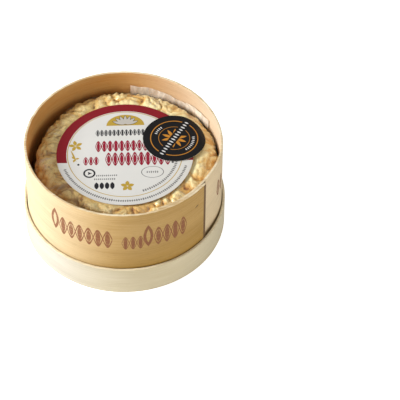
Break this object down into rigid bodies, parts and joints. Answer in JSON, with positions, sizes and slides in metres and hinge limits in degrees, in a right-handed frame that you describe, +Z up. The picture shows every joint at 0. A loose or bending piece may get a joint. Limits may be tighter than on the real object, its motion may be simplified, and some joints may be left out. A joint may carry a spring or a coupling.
{
  "type": "boxed cheese wheel",
  "caption": "Soft cheese wheel wrapped in clear film with a round label and sticker, in a round lapped-veneer wooden box that stands in its own upturned lid.",
  "frame": {"origin": "middle of the lid's flat underside, on the box's axis", "axes": "+Z up along the box's axis, -Y towards the front, +X towards the sticker"},
  "size_m": [0.094, 0.094, 0.0513],
  "materials": {
    "rind": "cream to golden orange wrinkled rind, slightly greasy",
    "clear_film": "clear glossy plastic film",
    "label_paper": "semi-gloss printed paper",
    "sticker_paper": "semi-gloss printed paper",
    "box_veneer": "matt peeled veneer",
    "box_board": "matt peeled veneer board",
    "lid_veneer": "matt pale peeled veneer",
    "lid_board": "matt pale veneer board"
  },
  "bodies": {
    "root": {"cheese_wheel": "rind", "film_wrap": "clear_film", "paper_label": "label_paper", "round_sticker": "sticker_paper", "box_hoop": "box_veneer", "box_floor": "box_board", "lid_hoop": "lid_veneer", "lid_panel": "lid_board"}
  },
  "joints": []
}
